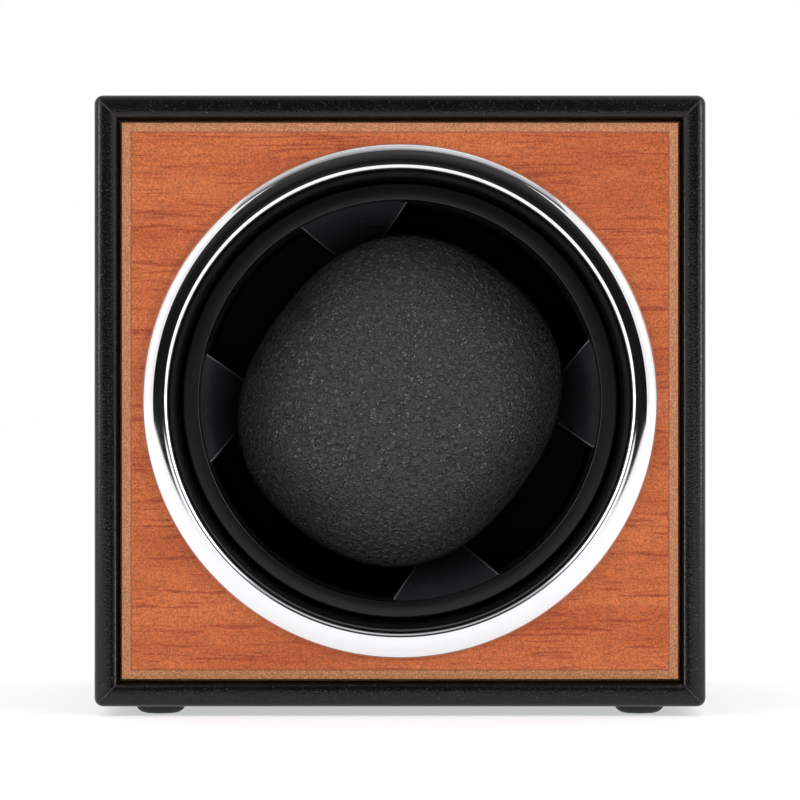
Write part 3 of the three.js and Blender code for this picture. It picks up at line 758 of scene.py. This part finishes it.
class WINDER_OT_wrap(PieceOperator):
    """Wrap the box in leatherette, round its rims and turn it in at the front and back"""

    bl_idname = "winder.wrap"
    bl_label = "Leatherette wrap"

    def build(self, s):
        obj = block("leather_wrap_skin", WRAP_LOW, WRAP_HIGH)
        with Editing(obj) as edit:
            for side in (-1, 1):
                edit.faces(lambda centre, normal: normal.y * side > 0.9)
                bpy.ops.mesh.inset(thickness=s.rim_width)
                bpy.ops.mesh.extrude_region_move(TRANSFORM_OT_translate={"value": (0, -side * s.lip, 0)})
                bpy.ops.mesh.delete(type="FACE")
            ends = (WRAP_LOW[1], WRAP_HIGH[1])

            def on_edge(a, b):
                """True for the wrapped edges: the long ones, and the outer and inner ones of each rim."""
                along = abs(a.y - b.y) > 100 * MM
                outer = max(abs(a.x), abs(a.z - AXIS_Z)) > WRAP_HIGH[0] - MM
                level = abs(a.y - b.y) < MM and min(abs(a.y - end) for end in ends) < MM
                straight = min(abs(a.x - b.x), abs(a.z - b.z)) < MM
                return (along and outer) or (level and straight)

            edit.edges(on_edge)
            bpy.ops.mesh.bevel(offset=s.rim_round, segments=5, profile=0.5)
        modified(obj, "SOLIDIFY", thickness=s.skin, offset=-1, use_even_offset=True)
        shaded(obj, 50)
        fitted(obj, "case", "leatherette", ["leatherette"], "leather_wrap")


class WINDER_OT_wood(PieceOperator):
    """Cut the wood panel: a chamfer round its face, and a round hole for the ring"""

    bl_idname = "winder.wood"
    bl_label = "Wood panel"

    def build(self, s):
        low = (PANEL_LOW[0], PANEL_LOW[1] + s.chamfer_depth, PANEL_LOW[2])
        obj = block("wood_front", low, PANEL_HIGH)
        with Editing(obj) as edit:
            edit.faces(lambda centre, normal: normal.y < -0.9)
            bpy.ops.mesh.inset(thickness=s.chamfer_width, depth=s.chamfer_depth)
        softened(obj, 0.16 * MM, 3)
        carved(obj, rod("hole", 45.5 * MM, PANEL_LOW[1] - MM, PANEL_HIGH[1] + MM, steps=240))
        shaded(obj, 20)
        fitted(obj, "case", "cherry_panel", ["cherry", "board_edge"], "wood_panel")
        face_half = PANEL_HIGH[0] - s.chamfer_width
        for face in obj.data.polygons:
            reach = max(abs(face.center.x), abs(face.center.z - AXIS_Z))
            sloped = face.normal.y > -0.985 and reach > face_half - 0.3 * MM
            face.material_index = 1 if sloped or face.normal.y > -0.5 else 0


class WINDER_OT_ring(PieceOperator):
    """Spin the chrome ring from its section: a broad roll and a rounded inner lip"""

    bl_idname = "winder.ring"
    bl_label = "Chrome ring"

    def build(self, s):
        outer, crest, bead, inner = RING_HIGH[0], 44.6 * MM, 44.35 * MM, 43.5 * MM
        neck, face, front = 45.1 * MM, PANEL_LOW[1] + 0.02 * MM, RING_LOW[1]
        section = [(neck, RING_HIGH[1]), (neck, face)]
        for turn in quarter(28):
            across = math.cos(turn)
            rise = (1 - across ** 3) ** 0.5
            section.append((crest + (outer - crest) * across, face + (front + 0.05 * MM - face) * rise))
        lip = bead - inner
        for turn in quarter(12):
            section.append((bead - lip * math.sin(turn), front + lip * (1 - math.cos(turn))))
        section.append((inner, RING_HIGH[1]))
        obj = turned("ring_polished", section, steps=256)
        shaded(obj, 50)
        fitted(obj, "case", "ring_chrome", ["chrome"], "chrome_ring")


class WINDER_OT_housing(PieceOperator):
    """Spin the drum housing: a lipped tube with a flange, a rear wall and the bearing boss"""

    bl_idname = "winder.housing"
    bl_label = "Drum housing"

    def build(self, s):
        bore, lip, tube = 41.7 * MM, 43.2 * MM, 43.5 * MM
        front, wall, end = HOUSING_LOW[1], 6.5 * MM, 30 * MM
        flange = -56.5 * MM
        flange_back, wall_back = flange + 2 * MM, wall + 3 * MM
        boss, shaft = 8 * MM, 5 * MM
        section = rounded([
            (shaft, wall), (bore, wall, 2 * MM), (bore, CUP_LOW[1] - 0.3 * MM, 0.5 * MM),
            (42.5 * MM, front + 1.4 * MM, 1.2 * MM), (lip - 0.3 * MM, front), (lip, front), (lip, flange),
            (HOUSING_HIGH[0], flange, 0.3 * MM), (HOUSING_HIGH[0], flange_back, 0.3 * MM),
            (tube, flange_back), (tube, wall_back, 1 * MM), (boss, wall_back, 1.5 * MM),
            (boss, end, 0.4 * MM), (shaft, end),
        ])
        obj = turned("drum_housing_shell", section, steps=192)
        shaded(obj, 40)
        fitted(obj, "case", "housing_black", ["gloss_black"], "drum_housing")


def slab(obj, half, across):
    """Cuts a piece down to what lies within a distance of the cup's axis, measured one way across it."""
    for normal in (across, -across):
        with Editing(obj) as edit:
            edit.all()
            bpy.ops.mesh.bisect(plane_co=AXIS + normal * half, plane_no=normal, use_fill=True,
                                clear_outer=True)
    return obj


class WINDER_OT_cup(PieceOperator):
    """Carve the cup: a bowl, and the two deep arms of its cross"""

    bl_idname = "winder.cup"
    bl_label = "Cup"

    def build(self, s):
        radius, rim = CUP_HIGH[0], 38 * MM
        front, back = CUP_LOW[1], CUP_HIGH[1]
        bowl, bowl_depth, floor_turn, bowl_steps = front + 0.4 * MM, 52 * MM, math.radians(60), 28
        section = [(0, back), (radius, back, 0.6 * MM), (radius, front, 0.45 * MM), (rim, front, 0.2 * MM)]
        for i in range(bowl_steps + 1):
            turn = floor_turn * i / bowl_steps
            section.append((rim * math.cos(turn), bowl + bowl_depth * math.sin(turn)))
        section.append((0, section[-1][1]))
        body = turned("cup_moulding", rounded(section), steps=192)
        arms = [slab(rod("arm", rim - 0.2 * MM, front - MM, floor, steps=192), half, across)
                for half, floor, across in ARMS]
        carved(body, *arms)
        softened(body, 0.18 * MM, 2, 40)
        shaded(body, 30)
        fitted(body, "cup", "cup_black", ["satin_black", "arm_painted_shade", "petal_painted_light"], "cup")
        for face in body.data.polygons:
            here = face.center - AXIS
            in_arm = any(abs(here.dot(across)) < half + 0.02 * MM for half, _, across in ARMS)
            inside = math.hypot(here.x, here.z) < rim - 0.15 * MM and bowl < here.y < back - MM
            # Faces in the arms take the painted shade finish, the petals the finish painted paler as painted
            # light, and the rest the cup's own satin black.
            face.material_index = (1 if in_arm else 2) if inside else 0


class WINDER_OT_pillow(PieceOperator):
    """Stuff the pillow: pressure swells its cover against a seam, and then the piping goes on"""

    bl_idname = "winder.pillow"
    bl_label = "Pillow"

    swell = 1.3 * MM

    def build(self, s):
        cover = self.bulk()
        modified(cover, "REMESH", mode="VOXEL", voxel_size=1.7 * MM, use_smooth_shade=True)
        with Editing(cover) as edit:
            edit.all()
            bpy.ops.mesh.bisect(plane_co=PILLOW_MIDDLE, plane_no=(0, 1, 0))
        seam = [v.index for v in cover.data.vertices if self.on_seam(v.co)]
        cord = self.piping(cover)
        self.stuff(cover, seam)
        modified(cover, "SUBSURF", levels=1, render_levels=1)
        shaded(cover, 180)
        fitted(cover, "pillow", "pillow_cover", ["pillow_leather"], "pillow_front_cover", "pillow_back_cover",
               "pillow_core")
        fitted(cord, "pillow", "pillow_cover", ["thread"])

    def bulk(self):
        """The bulk before it swells, between an ellipsoid and a box, its long side along the strap."""
        deselect()
        bpy.ops.mesh.primitive_ico_sphere_add(subdivisions=5, radius=1)
        obj = named("pillow_cover")
        half = [h - self.swell for h in PILLOW_HALF]
        for vertex in obj.data.vertices:
            reach = sum(abs(c / h) ** PILLOW_ROUNDNESS for c, h in zip(vertex.co, half))
            vertex.co = vertex.co * reach ** (-1 / PILLOW_ROUNDNESS) + PILLOW_MIDDLE
        to_axis = Matrix.Translation(AXIS)
        obj.data.transform(to_axis @ Matrix.Rotation(-STRAP_TILT, 4, "Y") @ to_axis.inverted())
        return obj

    def on_seam(self, *places):
        return all(abs(place.y - PILLOW_MIDDLE.y) < 0.02 * MM for place in places)

    def stuff(self, cover, seam):
        """Swells the cover under pressure with the seam held. It is enlarged meanwhile."""
        scene = bpy.context.scene
        enlarged, frames = 10, 20
        grow = Matrix.Scale(enlarged, 4)
        cover.data.transform(grow)
        before = [v.co.copy() for v in cover.data.vertices]
        take(cover)
        cover.vertex_groups.new(name="seam").add(seam, 1.0, "REPLACE")
        cloth = cover.modifiers.new("stuffing", "CLOTH")
        cloth.settings.quality = 8
        cloth.settings.use_pressure = True
        cloth.settings.uniform_pressure_force = 4.0
        cloth.settings.shrink_min = -0.05
        cloth.settings.vertex_group_mass = "seam"
        cloth.settings.effector_weights.gravity = 0.0
        cloth.point_cache.frame_start, cloth.point_cache.frame_end = 1, frames
        for frame in range(1, frames + 1):
            scene.frame_set(frame)
        bpy.ops.object.modifier_apply(modifier=cloth.name)
        scene.frame_set(1)
        limit = enlarged * self.swell
        for vertex, start in zip(cover.data.vertices, before):
            move = vertex.co - start
            if move.length > limit:
                vertex.co = start + move.normalized() * limit
        cover.data.transform(grow.inverted())
        cover.vertex_groups.clear()

    def piping(self, cover):
        """The piping that follows the seam."""
        with Editing(cover) as edit:
            edit.edges(self.on_seam)
            bpy.ops.mesh.duplicate()
            bpy.ops.mesh.separate(type="SELECTED")
        cord = next(o for o in bpy.context.selected_objects if o is not cover)
        take(cord)
        cord.name = cord.data.name = "pillow_piping"
        stand_out = 1.012
        cord.data.transform(Matrix.Translation(PILLOW_MIDDLE) @ Matrix.Diagonal((stand_out, 1, stand_out, 1))
                            @ Matrix.Translation(-PILLOW_MIDDLE))
        bpy.ops.object.convert(target="CURVE")
        cord.data.bevel_depth = 0.75 * MM
        cord.data.bevel_resolution = 4
        bpy.ops.object.convert(target="MESH")
        return shaded(cord, 180)


def four_fitted(first, name, node, slot, finish_name):
    """Copies the first of four pieces to the places of the other three, and fits them all to the case."""
    place = middle(f"{node}_1")
    pieces = [first] + [copied(first, f"{name}_{i}", middle(f"{node}_{i}") - place) for i in (2, 3, 4)]
    for i, obj in enumerate(pieces, 1):
        fitted(obj, "case", slot, [finish_name], f"{node}_{i}")


class WINDER_OT_feet(PieceOperator):
    """Spin one rubber foot and copy it to the four corners"""

    bl_idname = "winder.feet"
    bl_label = "Feet"

    def build(self, s):
        low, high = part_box("foot_1")
        radius, sole, top = (high.x - low.x) / 2, 2.4 * MM, high.z
        section = [(0, 0)]
        for turn in quarter(12):
            section.append((sole + (radius - sole) * math.sin(turn), top * (1 - math.cos(turn))))
        section.append((0, top))
        place = middle("foot_1")
        foot = turned("rubber_foot_1", section, (place.x, place.y, 0), 64, upright=True)
        four_fitted(shaded(foot, 40), "rubber_foot", "foot", "rubber", "rubber")


class WINDER_OT_inner(PieceOperator):
    """Give the pieces inside the case their finishes"""

    bl_idname = "winder.inner"
    bl_label = "Inner pieces"

    def build(self, s):
        renamed = {
            "lead": "lead_cover", "cup_black": "satin_black", "housing_black": "gloss_black",
            "pillow_foam": "foam", "pillow_cover": "pillow_leather", "cherry_panel": "cherry",
            "ring_chrome": "chrome",
        }
        slot_of = {part["node"]: part["material_slot"] for part in FRAME["record"]["subparts"]}
        for name, obj in FRAME["nodes"].items():
            slot_name = slot_of[name]
            for slot in obj.material_slots:
                slot.material = FINISHES[renamed.get(slot_name, slot_name)]()


class WINDER_OT_stage(bpy.types.Operator):
    """Set the pale floor, the soft lights, the dark cards that the chrome mirrors, and the camera"""

    bl_idname = "winder.stage"
    bl_label = "Stage"

    def execute(self, context):
        scene = context.scene
        deselect()
        bpy.ops.mesh.primitive_circle_add(vertices=96, radius=9, fill_type="NGON")
        floor = named("floor")
        f = Finish("floor_paint", emission_strength=1.0)
        tone = f.mix(f.noise(0.4, 2.0), (0.5, 0.5, 0.5), (0.53, 0.53, 0.53))
        rough = f.noise(0.2) * 0.1 + 0.6
        floor.data.materials.append(f.feed(base_color=tone, emission_color=tone, roughness=rough))

        world = bpy.data.worlds.new("studio")
        world.use_nodes = True
        background = world.node_tree.nodes["Background"]
        background.inputs["Color"].default_value = (1, 1, 1, 1)
        background.inputs["Strength"].default_value = 1.0
        scene.world = world

        self.card("dark_card", (0, -1.6, 0.75), (1.3, 1.5), (90, 0, 0), 0.09)
        self.card("ceiling_card", (0, -0.8, 1.4), (2.2, 1.8), (8, 0, 0), 1.1)
        self.light("left_softbox", (-1.0, -0.75, 0.4), (0.5, 0.9), 6)
        self.light("right_softbox", (1.0, -0.7, 0.4), (0.5, 0.9), 6.5)

        data = bpy.data.cameras.new("camera")
        camera = bpy.data.objects.new("camera", data)
        context.collection.objects.link(camera)
        data.sensor_width = 36
        distance, margin, rise = 0.95, 1.307, 0.17 * MM
        data.lens = data.sensor_width * distance / (margin * (WRAP_HIGH[0] - WRAP_LOW[0]))
        camera.location = (0, WRAP_LOW[1] - distance, AXIS_Z + rise)
        camera.rotation_euler = (math.pi / 2, 0, 0)
        scene.camera = camera
        scene.view_settings.view_transform = "Standard"
        return {"FINISHED"}

    def card(self, name, place, size, turn, glow):
        """A black card that only mirrors see, and that glows in streaks towards its far edge."""
        deselect()
        bpy.ops.mesh.primitive_plane_add(size=1, location=place, rotation=[math.radians(t) for t in turn])
        obj = named(name)
        obj.scale = (*size, 1)
        f = Finish(name, base_color=(0.004, 0.004, 0.004, 1), roughness=1.0, specular_ior_level=0.0,
                   emission_strength=glow)
        _, far, _ = f.parts(f.place)
        streaks = f.span(f.noise(1.0, 4.0, 0.7, vector=f.stretched((1.5, 22, 1))), 0.38, 0.62, 0.25, 1.0)
        tone = f.mix(f.span(far, -0.5, 0.15) * streaks, (0, 0, 0), (1, 1, 1))
        obj.data.materials.append(f.feed(emission_color=tone))
        obj.visible_camera = False
        obj.visible_diffuse = False
        obj.visible_shadow = False

    def light(self, name, place, size, power):
        """A soft light that faces the cup."""
        data = bpy.data.lights.new(name, "AREA")
        data.shape = "RECTANGLE"
        data.size, data.size_y = size
        data.energy = power
        obj = bpy.data.objects.new(name, data)
        bpy.context.collection.objects.link(obj)
        obj.location = place
        obj.rotation_euler = (AXIS - Vector(place)).to_track_quat("-Z", "Y").to_euler()
        obj.visible_camera = False


class WINDER_OT_back(PieceOperator):
    """Cut the back panel with its holes, printed ticks and four cross-recessed screws"""

    bl_idname = "winder.back"
    bl_label = "Back panel"

    def build(self, s):
        face = BACK_HIGH[1]
        panel = softened(block("back_cover", BACK_LOW, BACK_HIGH), 0.4 * MM, 3)
        inside, outside = BACK_LOW[1] - MM, face + MM
        well_low, well_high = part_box("rocker_housing")
        holes = [block("hole", (well_low[0] + MM, inside, well_low[2] + MM),
                       (well_high[0] - MM, outside, well_high[2] - MM))]
        for radius, place in ((3.4 * MM, KNOB_PLACE), (4.2 * MM, JACK_PLACE), (1.8 * MM, LED_PLACE)):
            holes.append(rod("hole", radius, inside, outside, place))
        slots, pitch, half = 10, 4 * MM, 0.8 * MM
        for i in range(slots):
            x = (i - (slots - 1) / 2) * pitch
            slot = block("slot", (x - half, inside, AXIS_Z + 14 * MM), (x + half, outside, AXIS_Z + 30 * MM))
            holes.append(softened(slot, 0.75 * MM, 4))
        carved(panel, *holes)
        shaded(panel, 30)
        fitted(panel, "case", "panel_black", ["panel_black"], "back_panel")

        ticks = []
        half = 0.35 * MM
        for degrees in (-60, 0, 60):
            tick = block("tick", (-half, face - 0.02 * MM, 10.2 * MM), (half, face + 0.03 * MM, 12.6 * MM))
            turn = Matrix.Rotation(math.radians(degrees), 4, "Y")
            tick.data.transform(Matrix.Translation(KNOB_PLACE) @ turn)
            ticks.append(tick)
        marks = ticks[0]
        take(marks)
        for tick in ticks[1:]:
            tick.select_set(True)
        bpy.ops.object.join()
        marks.name = marks.data.name = "dial_marks"
        fitted(marks, "case", "panel_black", ["print_white"])

        low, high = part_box("back_screw_1")
        x, _, z = middle("back_screw_1")
        tip, top, shank, head = low[1], high[1], 1.1 * MM, 2.6 * MM
        screw = turned("panel_screw_1", rounded([
            (0, tip), (shank, tip), (shank, face), (head, face), (head, face + 0.7 * MM, 0.3 * MM),
            (1.7 * MM, top, 0.8 * MM), (0, top)]), (x, 0, z))
        arm, wide, floor = 1.5 * MM, 0.32 * MM, top - 0.8 * MM
        carved(screw, *(block("recess", (x - a, floor, z - b), (x + a, top + MM, z + b))
                        for a, b in ((arm, wide), (wide, arm))))
        four_fitted(shaded(screw, 35), "panel_screw", "back_screw", "steel", "steel")


class WINDER_OT_controls(PieceOperator):
    """Turn the knurled knob, mould the rocker in its bezel, and turn the power inlet and the lamp"""

    bl_idname = "winder.controls"
    bl_label = "Controls"

    def build(self, s):
        self.knob()
        self.rocker()
        self.inlet()
        self.lamp()

    def inlet(self):
        low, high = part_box("dc_jack")
        face, back, front = BACK_HIGH[1], low[1], high[1]
        neck, collar, bore, pin, floor = 3.9 * MM, 5.5 * MM, 2.9 * MM, MM, face - 6 * MM
        inlet = turned("power_inlet", rounded([
            (0, back), (neck, back), (neck, face), (collar, face), (collar, front, 0.4 * MM),
            (3.5 * MM, front, 0.3 * MM), (bore, front - 0.6 * MM, 0.2 * MM), (bore, floor), (pin, floor),
            (pin, face, 0.3 * MM), (0, face)]), JACK_PLACE, 96)
        shaded(inlet, 35)
        fitted(inlet, "case", "panel_black", ["panel_black", "steel"], "dc_jack")
        for polygon in inlet.data.polygons:
            x, y, z = polygon.center
            reach = math.hypot(x - JACK_PLACE[0], z - JACK_PLACE[2])
            polygon.material_index = 1 if reach < pin * 1.02 and y > floor else 0

    def lamp(self):
        face, back = BACK_HIGH[1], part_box("indicator_led")[0][1]
        base, rise = face + 0.2 * MM, 1.2 * MM
        dome = [(LED_RADIUS * math.cos(turn), base + rise * math.sin(turn)) for turn in quarter(8)]
        lamp = turned("lamp", [(0, back), (LED_RADIUS, back), *dome], LED_PLACE)
        shaded(lamp, 50)
        fitted(lamp, "case", "lens", ["lens"], "indicator_led")
        hole = LED_RADIUS + 0.1 * MM
        bezel = turned("lamp_bezel", rounded([
            (hole, face - MM), (hole, face + 0.6 * MM, 0.15 * MM), (2.5 * MM, face + 0.4 * MM, 0.3 * MM),
            (2.7 * MM, face, 0.1 * MM)]), LED_PLACE)
        shaded(bezel, 50)
        fitted(bezel, "case", "panel_black", ["control_black"])

    def knob(self):
        low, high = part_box("mode_knob")
        back, top, skirt = low[1], high[1], high[1] - 5.2 * MM
        under, dish, strips = skirt - 0.6 * MM, top - 0.25 * MM, 108
        stem, wide, radius = 1.5 * MM, 8.5 * MM, 8.2 * MM
        knob = turned("knurled_knob", rounded([
            (0, back), (stem, back), (stem, under), (wide, under), (wide, skirt, 0.2 * MM),
            (radius, skirt + 0.4 * MM), (radius, top - 1.2 * MM), (6.9 * MM, top, 0.8 * MM),
            (6 * MM, top), (5.7 * MM, dish), (0, dish)]), KNOB_PLACE, strips)
        x, _, z = KNOB_PLACE
        with Editing(knob) as edit:

            def on_rib(centre, normal):
                """True for every third strip of the side."""
                strip = round(math.atan2(centre.z - z, centre.x - x) / math.tau * strips - 0.5)
                side = skirt + 0.5 * MM < centre.y < top - 1.3 * MM and abs(normal.y) < 0.2
                return side and math.hypot(centre.x - x, centre.z - z) > 8 * MM and strip % 3 == 0

            edit.faces(on_rib)
            bpy.ops.mesh.inset(thickness=0.04 * MM, depth=0.24 * MM, use_individual=True)
        shaded(knob, 30)
        fitted(knob, "knob", "control_black", ["control_black"], "mode_knob")
        half = 0.4 * MM
        pointer = block("knob_pointer", (x - half, top - 0.3 * MM, z + 2.2 * MM),
                        (x + half, top - 0.1 * MM, z + 5.4 * MM))
        fitted(softened(pointer, 0.06 * MM), "knob", "control_black", ["print_white"])

    def rocker(self):
        low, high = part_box("rocker_housing")
        face = BACK_HIGH[1]
        bezel = softened(block("rocker_bezel", (low[0], face, low[2]), high), 0.45 * MM, 4)
        rim = 1.3 * MM
        carved(bezel, block("body", (low[0] + rim, low[1], low[2] + rim),
                            (high[0] - rim, face + 0.1 * MM, high[2] - rim)), operation="UNION")
        wide, tall = 3.4 * MM, 5.7 * MM
        carved(bezel, block("well", (ROCKER_X - wide, face - 5 * MM, CONTROL_Z - tall),
                            (ROCKER_X + wide, high[1] + MM, CONTROL_Z + tall)))
        shaded(bezel, 35)
        fitted(bezel, "case", "panel_black", ["control_black"], "rocker_housing")

        tilt = Matrix.Rotation(math.radians(-7), 4, "X")
        paddle = block("rocker_paddle", (-3 * MM, -2.4 * MM, -5 * MM), (3 * MM, 1.9 * MM, 5 * MM))
        with Editing(paddle) as edit:
            edit.all()
            bpy.ops.mesh.bisect(plane_co=(0, 0, 0), plane_no=(0, 0, 1))

            def on_ridge(a, b):
                """True for the edge that runs across the front of the paddle's middle."""
                return max(abs(a.z), abs(b.z)) < 0.1 * MM and min(a.y, b.y) > 0.8 * MM

            edit.edges(on_ridge)
            bpy.ops.transform.translate(value=(0, -MM, 0))
            edit.edges(on_ridge)
            bpy.ops.mesh.bevel(offset=2.2 * MM, segments=6)
        softened(paddle, 0.3 * MM, 3, 40)
        shaded(paddle, 35)
        paddle.data.transform(Matrix.Translation((ROCKER_X, face, CONTROL_Z)) @ tilt)
        fitted(paddle, "rocker", "control_black", ["control_black"], "power_rocker")


STEPS = (WINDER_OT_stage, WINDER_OT_inner, WINDER_OT_wrap, WINDER_OT_wood, WINDER_OT_ring, WINDER_OT_housing,
         WINDER_OT_cup, WINDER_OT_pillow, WINDER_OT_feet, WINDER_OT_back, WINDER_OT_controls)


class WINDER_PT_panel(bpy.types.Panel):
    """The winder's operators, sizes and colours"""

    bl_idname = "WINDER_PT_panel"
    bl_label = "Watch Winder"
    bl_space_type = "VIEW_3D"
    bl_region_type = "UI"
    bl_category = "Winder"

    def draw(self, context):
        for step in STEPS:
            self.layout.operator(step.bl_idname)
        for group in (context.scene.winder_sizes, context.scene.winder_colours):
            for key in group.__annotations__:
                self.layout.prop(group, key)


CLASSES = (WinderSizes, WinderColours, *STEPS, WINDER_PT_panel)


def register():
    for cls in CLASSES:
        bpy.utils.register_class(cls)
    bpy.types.Scene.winder_sizes = bpy.props.PointerProperty(type=WinderSizes)
    bpy.types.Scene.winder_colours = bpy.props.PointerProperty(type=WinderColours)


def unregister():
    del bpy.types.Scene.winder_colours
    del bpy.types.Scene.winder_sizes
    for cls in reversed(CLASSES):
        bpy.utils.unregister_class(cls)


def main():
    register()
    for step in STEPS:
        category, name = step.bl_idname.split(".")
        getattr(getattr(bpy.ops, category), name)()


if __name__ == "__main__":
    main()
